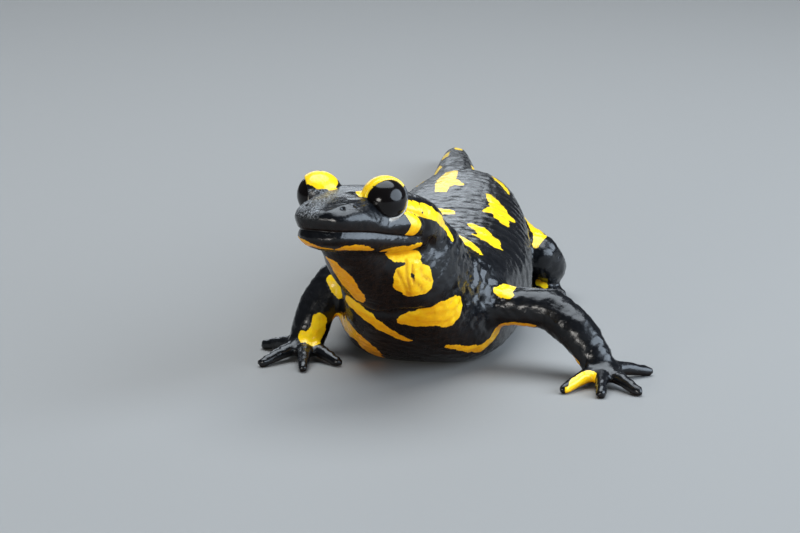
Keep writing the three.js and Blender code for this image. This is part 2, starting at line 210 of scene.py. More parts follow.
# -------------------- trunk and tail form
# From the throat to the tip of the tail: one round, slightly square section that carries
# the neck down from the raised head, the heavy trunk and the tapering round tail. Under
# the jaw the full throat hangs down to the breast.

# x, y, z of the middle, half width, height above it and depth below it
SPINE = np.array([
    (-3.9, 5.5, 22.0, 5.8, 3.9, 6.5),
    (-0.2, 10.5, 18.2, 8.0, 6.0, 8.2),
    (1.5, 16.0, 13.8, 8.9, 5.6, 10.0),
    (3.5, 23.0, 10.2, 12.0, 7.2, 10.7),
    (4.6, 34.0, 8.8, 14.0, 8.5, 9.4),
    (6.7, 48.0, 8.8, 13.0, 8.8, 9.3),
    (8.9, 60.0, 9.2, 10.7, 8.4, 9.2),
    (9.9, 70.0, 9.3, 8.8, 7.8, 8.6),
    (9.7, 79.0, 8.3, 7.0, 7.1, 7.2),
    (9.4, 93.0, 6.3, 5.4, 5.4, 5.9),
    (9.8, 115.0, 4.7, 4.5, 4.6, 4.9),
    (10.4, 138.0, 3.5, 3.4, 3.5, 3.7),
    (10.9, 156.0, 2.4, 2.4, 2.5, 2.6),
    (11.0, 163.0, 1.8, 1.75, 1.85, 2.0),
    (11.0, 166.2, 1.3, 0.95, 1.0, 1.1),
    (11.0, 167.0, 1.1, 0.1, 0.15, 0.25),
])
BACK_SQUARE = 2.25  # how square the section is above its widest level
BELLY_SQUARE = 3.2  # and below it, where the belly sags on the floor
THROAT_LINE = [(-6.0, 1.4, 21.8), (-4.1, 6.0, 18.6), (-0.8, 11.5, 14.8)]
THROAT_RADII = (4.5, 5.7, 6.7)
TUBE_END_ROWS = 8  # circles that close each end of a tube


def run_along(points):
    """The distance run along a line of points, from its first, at each of them."""
    steps = np.linalg.norm(np.diff(points, axis=0), axis=1)
    return np.concatenate([[0.0], np.cumsum(steps)])


def carried_frame(knots, line, at, reach):
    """At each distance: the middle, the way ahead there, and the left and up across it."""
    middle = through_stations(knots, line, at)
    ahead = through_stations(knots, line, at + reach) - through_stations(knots, line, at - reach)
    ahead /= np.linalg.norm(ahead, axis=1, keepdims=True)
    up = np.array([0.0, 0.0, 1.0]) - ahead * ahead[:, 2:]
    up /= np.linalg.norm(up, axis=1, keepdims=True)
    return middle, ahead, np.cross(ahead, up), up


def body_grid(rows=420, columns=96):
    """The section of each distance along the spine, stood square across it."""
    knots = run_along(SPINE[:, :3])
    at = np.linspace(0, knots[-1], rows)
    middle, _, left, up = carried_frame(knots, SPINE[:, :3], at, reach=0.3)
    wide, above, below = through_stations(knots, SPINE[:, 3:], at).T[:, :, None]
    angles = 2 * np.pi * np.arange(columns) / columns
    square = np.where(np.sin(angles) >= 0, BACK_SQUARE, BELLY_SQUARE)
    side, height = section(angles, wide, above, below, square)
    return middle[:, None] + side[..., None] * left[:, None] + height[..., None] * up[:, None]


def tube_grid(line, radii, rows=40, columns=28):
    """Circles round a line through points, with a half ball drawn over each end."""
    line = np.asarray(line, float)
    knots = run_along(line)
    length = knots[-1]
    at = np.linspace(0, length, rows)
    radius = through_stations(knots, radii, at)[:, 0]
    turn = np.linspace(np.pi / 2, 0, TUBE_END_ROWS + 1)[:-1]
    at_all = np.concatenate([0 * turn, at, 0 * turn + length])
    shift = np.concatenate([-radii[0] * np.sin(turn), 0 * at, radii[-1] * np.sin(turn[::-1])])
    radius = np.concatenate([radii[0] * np.cos(turn), radius, radii[-1] * np.cos(turn[::-1])])
    middle, ahead, left, up = carried_frame(knots, line, at_all, reach=length / 200)
    middle = middle + ahead * shift[:, None]
    angles = 2 * np.pi * np.arange(columns) / columns
    ring = np.cos(angles)[:, None] * left[:, None] + np.sin(angles)[:, None] * up[:, None]
    return middle[:, None] + radius[:, None, None] * ring


flesh.append(body_grid())
flesh.append(tube_grid(THROAT_LINE, THROAT_RADII, rows=60, columns=64))


# -------------------- legs form
# Two tapering lengths each, a low padded palm and blunt digits, four on a hand and five
# on a foot. The palms and digits rest on the floor.

# left and right foreleg, left and right hind leg: the line from the body by the elbow or
# knee to the wrist or ankle, and the radii along its upper and its lower length
LEGS = [
    ([(8.0, 20.0, 8.4), (14.0, 17.0, 8.8), (20.4, 15.6, 8.6), (23.9, 12.8, 6.1), (26.3, 10.5, 3.0)],
     (3.4, 2.85, 2.75), (2.8, 2.7, 2.25)),
    ([(0.0, 20.0, 10.0), (-4.5, 23.8, 10.4), (-8.9, 26.2, 10.0), (-11.3, 24.9, 6.8),
      (-12.7, 23.4, 3.2)], (3.2, 2.8, 2.85), (2.85, 2.75, 2.6)),
    ([(12.5, 68.0, 8.0), (17.8, 61.4, 7.6), (21.3, 55.2, 7.1), (22.7, 57.2, 4.8), (22.2, 60.4, 2.5)],
     (4.0, 3.7, 3.0), (3.0, 2.8, 2.3)),
    ([(6.5, 68.5, 8.0), (0.4, 65.4, 7.4), (-5.2, 61.8, 6.8), (-6.4, 65.4, 5.6), (-6.2, 69.6, 3.5)],
     (4.0, 3.7, 3.0), (3.0, 2.8, 2.3)),
]
JOINT = 2  # the elbow or knee is this point of the line
# palm x and y, its radius, and the direction in degrees and length of each digit
PALMS = [
    ((27.0, 9.9), 2.6, [(-133, 7.9), (-95, 7.9), (-58, 8.0), (24, 7.2)]),
    ((-13.2, 22.6), 2.7, [(-48, 6.9), (-90, 7.9), (-136, 7.8), (146, 7.0)]),
    ((21.6, 60.8), 2.8, [(-134, 5.2), (-113, 7.2), (-94, 8.2), (-76, 7.8), (-57, 6.0)]),
    ((-6.2, 70.4), 2.8, [(-26, 6.0), (-60, 7.8), (-92, 8.6), (-122, 8.0), (-153, 6.2)]),
]
PALM_HEIGHT = 1.7
PALM_HALF_THICKNESS = 1.8
DIGIT_RADII = (1.2, 0.95, 0.72)
DIGIT_ROOT = 0.12  # the share of its length where a digit starts, in the palm
DIGIT_MIDDLE = 0.55
DIGIT_LOW = 0.6  # height of its middle line at the tip
DIGIT_ARCH = 0.75  # and how much higher that is halfway along


def digit_line(palm, direction, length):
    """From inside the palm, low over the floor, to the tip, as heights at shares of the length."""
    ahead = np.array([math.cos(math.radians(direction)), math.sin(math.radians(direction))])
    shares = (
        (DIGIT_ROOT, PALM_HEIGHT), (DIGIT_MIDDLE, DIGIT_LOW + DIGIT_ARCH), (1.0, DIGIT_LOW),
    )
    return [(*(np.array(palm) + ahead * length * share), height) for share, height in shares]


for line, upper_radii, lower_radii in LEGS:
    flesh.append(tube_grid(line[:JOINT + 1], upper_radii))
    flesh.append(tube_grid(line[JOINT:], lower_radii))
for palm, radius, digits in PALMS:
    flesh.append(ball_grid((*palm, PALM_HEIGHT), (radius, radius, PALM_HALF_THICKNESS)))
    for direction, length in digits:
        line = digit_line(palm, direction, length)
        flesh.append(tube_grid(line, DIGIT_RADII, rows=24, columns=16))


# -------------------- one skin
# The forms are joined into a single closed skin. The joining is done in a space swollen
# about the head, so that its faces come out a little finer there than on the body. The
# faces of the head are then halved, and those round the eyes and the mouth once more, to
# carry the lids and lips.
SWELL_CENTRE = from_head((0.0, 0.0, -2.5))
SWELL_NEAR = 1.32  # swollen length over real length at the head
SWELL_FAR = 1.02  # and far from it
SWELL_CORE = 9.0  # all of the swelling is kept up to this distance
SWELL_FADE = 12.0  # and it fades over this one
SWELL_REACH = 260.0  # past the tip of the tail
SWELL_STEPS = 5200
VOXEL = 0.492
SMOOTHING = [0.5, -0.52]  # towards the neighbours, then a little further back
FINE_BACK = -6.3  # faces are halved forward of this, in the head
# and once more this near to the mouth, the nostrils and the lids' edges
MOUTH_BAND = 0.5
NOSTRIL_BAND = 0.8
LID_BAND = 0.6
LID_FAR = 5.0  # from the middle of the eye
NOSTRIL = (7.1, 2.6, -0.7)  # forward, left and right, up
# the mouth line: forward, up
MOUTH_LINE = [(-6.0, -5.3), (-4.1, -5.1), (0.6, -4.4), (4.6, -3.65), (9.0, -3.25)]
EYE_FORWARD = math.radians(32)  # the lids' opening faces this far forward of sideways
EYE_TILT = math.radians(14)  # and this far up
# half that opening in degrees, left and right, by the turn round it: up is 0, forward 90,
# back -90; the right eye is a little closed in front
LID_OPENING = [
    (-180, 61, 54), (-135, 64, 58), (-90, 66, 60), (-45, 61, 49), (0, 56, 37), (25, 58, 38),
    (49, 66, 43), (74, 80, 52), (95, 82, 58), (118, 77, 62), (143, 69, 59), (180, 61, 54),
]
# flesh fills the angles where the head meets the neck and the legs leave the body
NECK_JOINT = (from_head((-12.0, 0.0, -5.0)), 9.0)
LEG_JOINTS = [((13.0, 17.5, 8.7), 6.0), ((-3.5, 23.0, 10.2), 6.0), ((18.0, 62.0, 7.6), 6.5),
              ((1.2, 66.0, 7.4), 6.5)]
FILL_STEP = 0.6
FILL_ROUNDS = 30


def closed_faces(grids):
    """Quads between neighbouring rows of each grid, and a fan to a point at each end."""
    points, faces, start = [], [], 0
    for grid in grids:
        rows, columns = grid.shape[:2]
        index = start + np.arange(rows * columns).reshape(rows, columns)
        beside = np.roll(index, -1, axis=1)
        quads = np.stack([index[:-1], beside[:-1], beside[1:], index[1:]], -1).reshape(-1, 4)
        tips = start + rows * columns + np.arange(2)
        fan_0 = np.stack([beside[0], index[0], np.full(columns, tips[0])], -1)
        fan_1 = np.stack([index[-1], beside[-1], np.full(columns, tips[1])], -1)
        points += [grid.reshape(-1, 3), grid[[0, -1]].mean(1)]
        faces += quads.tolist() + fan_0.tolist() + fan_1.tolist()
        start += rows * columns + 2
    return np.concatenate(points), faces


def swell_table():
    """Distance in the swollen space against real distance from the head, summed from its rate."""
    real = np.linspace(0, SWELL_REACH, SWELL_STEPS + 1)
    fade = bell(np.maximum(real - SWELL_CORE, 0), SWELL_FADE)
    rate = SWELL_FAR + (SWELL_NEAR - SWELL_FAR) * fade
    return real, np.concatenate([[0.0], np.cumsum((rate[1:] + rate[:-1]) / 2 * np.diff(real))])


def rescaled(points, given, wanted):
    """Moves each point along its ray from the swelling's centre, by the two distance tables."""
    away = points - SWELL_CENTRE
    distance = np.linalg.norm(away, axis=1, keepdims=True)
    return SWELL_CENTRE + away * np.interp(distance, given, wanted) / np.maximum(distance, 1e-9)


def over_mouth(points):
    """How far forward each point is, and how far above the mouth line."""
    forward, _, up = to_head(points).T
    line_forward, line_up = np.array(MOUTH_LINE).T
    return forward, up - through_stations(line_forward, line_up, forward)[:, 0]


def points_of(mesh):
    """Every vertex's place, as rows of three."""
    flat = np.empty(len(mesh.vertices) * 3)
    mesh.vertices.foreach_get("co", flat)
    return flat.reshape(-1, 3)


def joined_skin(grids):
    """The outside of all the forms together, as a mesh in millimetres."""
    real, swollen = swell_table()
    points, faces = closed_faces(grids)
    draft = bpy.data.meshes.new("draft")
    draft.from_pydata(rescaled(points, real, swollen), [], faces)
    holder = in_scene("draft", draft)
    remesh = holder.modifiers.new("join", "REMESH")
    remesh.mode = "VOXEL"
    remesh.voxel_size = VOXEL
    shown = holder.evaluated_get(bpy.context.evaluated_depsgraph_get())
    joined = bpy.data.meshes.new_from_object(shown)
    bpy.data.objects.remove(holder)
    bpy.data.meshes.remove(draft)
    joined.vertices.foreach_set("co", rescaled(points_of(joined), swollen, real).ravel())
    return joined


def relaxed(mesh, points, amounts):
    """For each amount in turn, every point goes that share of the way to its neighbours' mean."""
    ends = np.empty(len(mesh.edges) * 2, np.int32)
    mesh.edges.foreach_get("vertices", ends)
    ends = ends.reshape(-1, 2)
    one, other = np.concatenate([ends, ends[:, ::-1]]).T
    count = np.bincount(one, minlength=len(points))[:, None]
    for amount in amounts:
        total = np.stack([
            np.bincount(one, points[other, axis], len(points)) for axis in range(3)
        ], -1)
        points = points + amount * (total / count - points)
    return points


def halved(mesh, chosen):
    """Each edge between two chosen vertices gets a vertex in its middle, and its faces are split."""
    finer = bmesh.new()
    finer.from_mesh(mesh)
    edges = [e for e in finer.edges if chosen[e.verts[0].index] and chosen[e.verts[1].index]]
    bmesh.ops.subdivide_edges(finer, edges=edges, cuts=1, use_grid_fill=True)
    finer.to_mesh(mesh)
    finer.free()


def smoothed(mesh, rounds):
    """Relaxing forwards and a little further back, so that ripples go and the form stays."""
    points = relaxed(mesh, points_of(mesh), SMOOTHING * rounds)
    mesh.vertices.foreach_set("co", points.ravel())
    return points


def ramp(values, low, high):
    """0 up to low, 1 from high, and an S between them."""
    t = np.clip((values - low) / (high - low), 0, 1)
    return t * t * (3 - 2 * t)


def eye_polar(points, side):
    """Round one eye: distance from its middle, arc past the lids' edge, turn from up to forward."""
    away = to_head(points) - (0.0, side * EYE_SIDE, 0.0)
    away[:, 1] *= side
    distance = np.linalg.norm(away, axis=1)
    unit = away / distance[:, None]
    facing = np.array([
        math.cos(EYE_TILT) * math.sin(EYE_FORWARD),
        math.cos(EYE_TILT) * math.cos(EYE_FORWARD),
        math.sin(EYE_TILT),
    ])
    top = np.array([0.0, 0.0, 1.0]) - facing * facing[2]
    top /= np.linalg.norm(top)
    front = np.cross(facing, top)
    front *= np.sign(front[0])
    turn = np.arctan2(unit @ front, unit @ top)
    turns, *openings = np.radians(LID_OPENING).T
    opening = through_stations(turns, openings[side < 0], turn)[:, 0]
    return distance, (np.arccos(np.clip(unit @ facing, -1, 1)) - opening) * EYE_RADIUS, turn


def around_point(points, centre, reach):
    """1 about a point and 0 well past its reach: e to the minus fourth power of their ratio."""
    return np.exp(-(np.linalg.norm(points - centre, axis=1) / reach) ** 4)


skin_mesh = joined_skin(flesh)
place = smoothed(skin_mesh, 3)
fill = around_point(place, *NECK_JOINT) * ramp(-to_head(place)[:, 0], 5.5, 9.0)
for joint, reach in LEG_JOINTS:
    fill = np.maximum(fill, around_point(place, joint, reach))
place = relaxed(skin_mesh, place, [FILL_STEP * fill[:, None]] * FILL_ROUNDS)
skin_mesh.vertices.foreach_set("co", place.ravel())
halved(skin_mesh, to_head(place)[:, 0] > FINE_BACK)
place = smoothed(skin_mesh, 3)

forward, over = over_mouth(place)
fine = (np.abs(over + 0.1) < MOUTH_BAND) & (forward > FINE_BACK + 0.5)
fine |= np.linalg.norm(np.abs(to_head(place)) - np.abs(NOSTRIL), axis=1) < NOSTRIL_BAND
for side in (1, -1):
    distance, past_edge, _ = eye_polar(place, side)
    fine |= (distance < LID_FAR) & (np.abs(past_edge - 0.15) < LID_BAND)
halved(skin_mesh, fine)
place = smoothed(skin_mesh, 3)


# -------------------- folds of the skin
# The lids stand round the eyeballs, the upper lip overhangs the lower, and the wet skin
# is folded at the throat, neck and joints. All of it is raised or sunk in the skin itself.
LID_GAP = 0.05  # between the lid's edge and the eyeball
UPPER_LID = 0.22  # thickness of the lids
LOWER_LID = 0.12
SOCKET_DEPTH = 0.55  # how far the skin inside the opening sinks
SOCKET_EDGE = 0.22  # and over how much of the arc inwards from the lid's edge
LID_JOIN = 1.0  # the arc over which the lid runs out into the head
LID_JOIN_FRONT = 1.3  # and how much longer that is before the eye
LID_CLEAR = (0.5, 1.4)  # skin this far clear of the eyeball stays as it is
LID_CLEAR_BEHIND = 1.4  # and this much further behind the eye
# lips: height over the mouth line, and how far the skin stands out there
LIPS = np.array([
    (-3.4, 0.0), (-2.7, 0.0), (-1.8, 0.1), (-1.1, 0.16), (-0.8, 0.08), (-0.4, -0.2),
    (-0.1, -0.42), (0.02, -0.36), (0.14, -0.2), (0.5, -0.06), (1.0, 0.12), (1.5, 0.24),
    (2.1, 0.16), (2.9, 0.0),
])
NOSTRIL_RADIUS = 0.27
NOSTRIL_DEPTH = 0.45
NOSTRIL_RIM = 0.02
# the hollow in the side of the snout before each eye: forward, left and up, width and depth
EYE_HOLLOW = ((3.0, 4.7, -0.6), 1.7, 0.5)


def outward(mesh, points):
    """The skin's normal at each vertex."""
    mesh.vertices.foreach_set("co", points.ravel())
    mesh.update()
    flat = np.empty(len(points) * 3)
    mesh.vertex_normals.foreach_get("vector", flat)
    return flat.reshape(-1, 3)


def with_lids(points):
    """Skin round an eye is set by its distance from the eye's middle: inside the opening it sinks
    under the eyeball, at the edge it rises in a rounded rim, and then it joins the head, never
    closer than the lid lies over the eyeball."""
    for side in (1, -1):
        distance, past, turn = eye_polar(points, side)
        upper = ramp(np.cos(turn), -0.25, 0.35)
        thick = LOWER_LID + (UPPER_LID - LOWER_LID) * upper
        rim = EYE_RADIUS + LID_GAP
        round_edge = np.sqrt(np.clip(1 - (1 - np.clip(past / thick, 0, 1)) ** 2, 0, 1))
        socket = rim - SOCKET_DEPTH * ramp(-past, 0, SOCKET_EDGE)
        lid = np.where(past > 0, rim + thick * round_edge, socket)
        wider = LID_JOIN_FRONT * np.maximum(np.sin(turn), 0) ** 2
        kept = ramp(past, thick, thick + LID_JOIN + wider)
        behind = ramp(-np.sin(turn), -0.3, 0.2) * ramp(-past, -0.3, 0.1)
        clear = distance - wider - LID_CLEAR_BEHIND * behind - EYE_RADIUS
        kept = 1 - (1 - kept) * (1 - ramp(clear, *LID_CLEAR))
        centre = from_head((0.0, side * EYE_SIDE, 0.0))
        ray = (points - centre) / distance[:, None]
        reach = lid + (distance - lid) * kept
        over_ball = np.where(past > thick, rim + thick, 0.0)
        points = centre + ray * np.maximum(reach, over_ball)[:, None]
    return points


def mouth_profile(points):
    """How far the lips stand out, by height over the mouth line: a full upper lip, a cleft, and
    a lower lip set back that swells downwards."""
    forward, over = over_mouth(points)
    stand = through_stations(LIPS[:, 0], LIPS[:, 1], over)[:, 0]
    return stand * ramp(forward, -5.4, -3.9)


def on_left(points):
    """Head millimetres with the right half of the head laid over the left."""
    forward, left, up = to_head(points).T
    return np.stack([forward, np.abs(left), up], -1)


def nostril_profile(points):
    """A bell-shaped pit each side of the snout, with a faint ring-shaped bell round it."""
    spread = np.linalg.norm(on_left(points) - NOSTRIL, axis=1) / NOSTRIL_RADIUS
    return NOSTRIL_RIM * bell(spread - 1.9, 0.6) - NOSTRIL_DEPTH * bell(spread, 1.0)


def before_eye(points):
    """The hollow falls off with distance like a bell, the same on both sides."""
    centre, width, depth = EYE_HOLLOW
    return -depth * bell(np.linalg.norm(on_left(points) - centre, axis=1), width)


def nearest_run(points, start, end):
    """The distance to the straight run between two touches, and the size at the nearest place."""
    start, end = np.array(start, float), np.array(end, float)
    run = end[:3] - start[:3]
    share = np.clip((points - start[:3]) @ run / (run @ run), 0, 1)
    away = np.linalg.norm(points - start[:3] - share[:, None] * run, axis=1)
    return away, start[3] + share * (end[3] - start[3])


def folded(points, folds):
    """The sum of all folds; each is a bell across the nearest part of its line."""
    height = np.zeros(len(points))
    for rise, line in folds:
        across = np.zeros(len(points))
        for start, end in zip(line[:-1], line[1:]):
            across = np.maximum(across, bell(*nearest_run(points, start, end)))
        height += rise * across
    return height


# folds alike on both sides: rise, then the line as forward, left, up and the bell's width
PAIRED_FOLDS = [
    # the groove that parts the jaw from the parotoid gland
    (-0.3, [(-0.8, 7.1, -1.1, 0.2), (-2.3, 7.5, -1.7, 0.35), (-3.7, 7.9, -2.3, 0.4),
            (-4.7, 8.2, -3.2, 0.5), (-5.0, 8.1, -4.4, 0.6), (-5.2, 7.6, -5.6, 0.6)]),
    # the edge between the snout's flat top and its sides
    (0.1, [(8.2, 1.4, -1.0, 0.5), (6.2, 2.6, 0.0, 0.6), (4.0, 3.0, 0.6, 0.7)]),
    # the jaw's own swelling at the corner of the mouth
    (0.25, [(-2.4, 7.6, -3.2, 1.0), (-2.6, 7.6, -4.0, 1.0)]),
]
HEAD_FOLDS = PAIRED_FOLDS + [
    (rise, [(forward, -left, up, width) for forward, left, up, width in line])
    for rise, line in PAIRED_FOLDS
] + [
    # the crease from the front corner of each eye, and the low ridge under the left one
    (-0.3, [(3.0, 4.3, -0.1, 0.26), (4.3, 3.8, -0.2, 0.24), (5.6, 3.6, -0.35, 0.2)]),
    (0.1, [(3.4, 4.3, -0.7, 0.25), (4.5, 4.0, -0.5, 0.22), (5.4, 3.7, -0.5, 0.2)]),
    (-0.16, [(3.2, -4.3, -0.2, 0.2), (4.3, -3.8, -0.1, 0.18), (5.4, -3.5, -0.2, 0.14)]),
]
# creases of the loose skin of the throat, on its left: x, y, z and the bell's width
CREASE_RISE = -0.14
THROAT_CREASES = [
    [(0.8, 1.5, 18.6, 0.2), (0.9, 1.7, 16.4, 0.25), (1.5, 3.4, 13.2, 0.2)],
    [(1.6, 2.1, 17.9, 0.16), (1.6, 2.1, 16.5, 0.25), (1.9, 2.5, 15.0, 0.16)],
    [(2.1, 2.6, 15.6, 0.2), (2.9, 3.2, 14.4, 0.22), (3.7, 4.6, 13.2, 0.2)],
    [(-0.4, 1.2, 17.4, 0.2), (0.4, 1.7, 15.5, 0.22), (1.1, 3.2, 13.4, 0.2)],
    [(2.7, 2.6, 17.4, 0.2), (3.0, 2.8, 16.3, 0.22), (4.2, 4.0, 15.2, 0.2)],
    [(2.2, 2.3, 18.6, 0.2), (2.9, 2.5, 18.2, 0.2), (3.3, 2.7, 17.6, 0.2)],
]
# all folds of the body: rise, then x, y, z and the bell's width
BODY_FOLDS = [(CREASE_RISE, line) for line in THROAT_CREASES] + [
    # the throat's fold over the breast
    (-0.5, [(-6.4, 8.6, 12.2, 0.5), (-5.3, 7.7, 11.3, 0.6), (-3.4, 7.4, 10.3, 0.7),
            (-1.3, 6.5, 10.1, 0.7), (0.5, 5.5, 10.6, 0.7), (2.6, 5.4, 11.3, 0.7),
            (4.7, 6.5, 12.3, 0.6), (5.4, 7.1, 13.5, 0.5)]),
    (0.3, [(-3.6, 6.6, 11.8, 0.9), (-1.3, 5.6, 11.6, 1.0), (0.7, 4.8, 12.1, 1.0),
           (2.8, 4.6, 12.8, 0.9)]),
    # upright folds of the neck and before the left shoulder
    (-0.35, [(3.9, 2.7, 21.1, 0.5), (4.7, 5.8, 18.2, 0.6), (5.1, 6.7, 15.8, 0.6),
             (4.9, 6.6, 13.8, 0.5)]),
    (-0.3, [(6.1, 10.6, 19.0, 0.35), (6.3, 8.9, 16.7, 0.4), (5.8, 7.7, 14.5, 0.4),
            (5.5, 7.3, 12.6, 0.35)]),
    (0.2, [(6.8, 11.4, 18.4, 0.35), (7.1, 9.7, 16.5, 0.4), (6.6, 8.7, 14.6, 0.4)]),
    (-0.3, [(7.3, 12.3, 18.0, 0.3), (7.7, 10.6, 16.3, 0.35), (7.3, 9.5, 14.4, 0.35),
            (6.7, 8.5, 12.6, 0.3)]),
    (0.2, [(8.2, 12.2, 16.6, 0.35), (8.0, 10.6, 14.0, 0.4), (7.8, 10.0, 12.0, 0.35)]),
    (-0.3, [(8.3, 13.7, 17.2, 0.3), (8.9, 11.9, 14.9, 0.35), (8.6, 11.0, 12.4, 0.35),
            (9.1, 11.1, 10.4, 0.3)]),
    (-0.3, [(9.4, 15.7, 16.5, 0.3), (10.2, 13.6, 14.2, 0.35), (9.7, 12.5, 12.0, 0.3),
            (10.3, 12.7, 10.2, 0.3)]),
    (0.15, [(10.4, 15.2, 14.8, 0.3), (10.5, 13.6, 12.6, 0.35), (10.6, 13.2, 10.8, 0.3)]),
    (-0.25, [(10.8, 16.7, 15.4, 0.3), (11.3, 15.0, 13.5, 0.3), (10.9, 13.8, 11.7, 0.3),
             (11.2, 13.7, 9.9, 0.3)]),
    # slanting creases of the left upper arm
    (-0.15, [(11.3, 14.0, 10.8, 0.25), (12.8, 14.5, 9.6, 0.25), (14.6, 14.3, 7.8, 0.2)]),
    (-0.15, [(13.1, 14.8, 10.3, 0.25), (14.3, 14.3, 9.5, 0.25), (15.7, 13.9, 8.0, 0.2)]),
    (-0.12, [(16.2, 13.9, 9.8, 0.25), (17.1, 13.5, 8.8, 0.25), (18.1, 13.5, 7.7, 0.2)]),
    # the left wrist, and the right one
    (-0.22, [(24.4, 9.2, 2.9, 0.25), (25.3, 8.9, 4.5, 0.28), (26.6, 9.8, 5.7, 0.25)]),
    (-0.22, [(25.3, 8.5, 3.1, 0.25), (26.2, 8.8, 4.5, 0.28), (27.6, 10.5, 5.1, 0.25)]),
    (-0.18, [(26.1, 8.1, 2.9, 0.22), (26.9, 8.7, 4.2, 0.25), (28.2, 10.0, 4.6, 0.22)]),
    (-0.2, [(-15.2, 22.4, 4.4, 0.3), (-13.4, 20.9, 4.4, 0.3), (-11.2, 21.6, 3.8, 0.3)]),
]
# the furrows between the ribs: rise, first and spacing along the body, count, width
RIB_FURROWS = (-0.2, 27.0, 3.3, 11, 0.55)
# the two rows of glands along the back: rise, spacing, distance from the middle, size
BACK_GLANDS = (0.13, 2.4, 1.3, 0.6)
# the unevenness of the skin: how far apart the lumps are and how high, at each of three
# sizes, and how much of it there is on the head, on the body, and at the left of the neck
LUMPS = ((2.9, 0.05), (1.7, 0.035), (1.05, 0.025))
LUMPS_ON_HEAD = 0.25
LUMPS_ON_BODY = 0.75
LUMPS_ON_NECK = 1.8
NECK_PLACE = ((9.8, 13.0, 14.5), 6.5)


def along_body(points):
    """How far each point is to the left of the spine, and how far above it."""
    middle = through_stations(SPINE[:, 1], SPINE[:, [0, 2]], points[:, 1])
    return points[:, 0] - middle[:, 0], points[:, 2] - middle[:, 1]


def ribs_and_glands(points):
    """Furrows are bells along the body on the flanks only; glands are bells in two rows."""
    side, up = along_body(points)
    back = points[:, 1]
    rise, first, spacing, count, width = RIB_FURROWS
    number = np.clip(np.round((back - first) / spacing), 0, count - 1)
    flank = ramp(np.abs(side), 6.0, 8.5) * ramp(up, -5.0, -1.0)
    furrow = rise * flank * bell(back - first - number * spacing, width)
    rise, spacing, apart, size = BACK_GLANDS
    step = back - spacing * np.round(back / spacing)
    gland = rise * bell(np.hypot(step, np.abs(side) - apart), size)
    return furrow + gland * ramp(up, 1.0, 3.0) * ramp(back, 24, 30) * ramp(-back, -150, -120)


def lumps(points):
    """For each size, the product of three slanting waves, each bent a little by the next."""
    total = np.zeros(len(points))
    slant = np.array([[0.8, 0.5, -0.3], [-0.4, 0.85, 0.4], [0.45, -0.2, 0.87]])
    for size, rise in LUMPS:
        turns = points @ slant * (2 * np.pi / size) + size
        turns = turns + 0.9 * np.sin(turns[:, [1, 2, 0]] * 0.37)
        total += rise * np.prod(np.sin(turns), axis=1) * 1.6
        slant = np.roll(slant, 1, axis=0)
    return total


def in_frame(points):
    """This script's millimetres to the frame's metres: both hold the point between the eyes."""
    return (np.asarray(points, float) - HEAD_CENTRE) / 1000 + between_eyes


form = mouth_profile(place) + nostril_profile(place) + before_eye(place)
form += folded(to_head(place), HEAD_FOLDS) + folded(place, BODY_FOLDS)
amount = LUMPS_ON_HEAD + LUMPS_ON_BODY * ramp(-to_head(place)[:, 0], 4.0, 9.0)
amount += LUMPS_ON_NECK * around_point(place, *NECK_PLACE)
form += ribs_and_glands(place) + lumps(place) * amount * ramp(place[:, 2], 0.3, 2)
place = place + outward(skin_mesh, place) * form[:, None]
place = with_lids(place)
# what rests on the floor is flat
place[:, 2] = np.maximum(place[:, 2], 0.0)

facing_up = outward(skin_mesh, place)[:, 2]
skin_mesh.vertices.foreach_set("co", in_frame(place).ravel())
skin_mesh.update()
skin_mesh.shade_smooth()
skin = in_scene("skin", skin_mesh)
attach(skin, "root")
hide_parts(*[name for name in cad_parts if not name.startswith("eye_")])
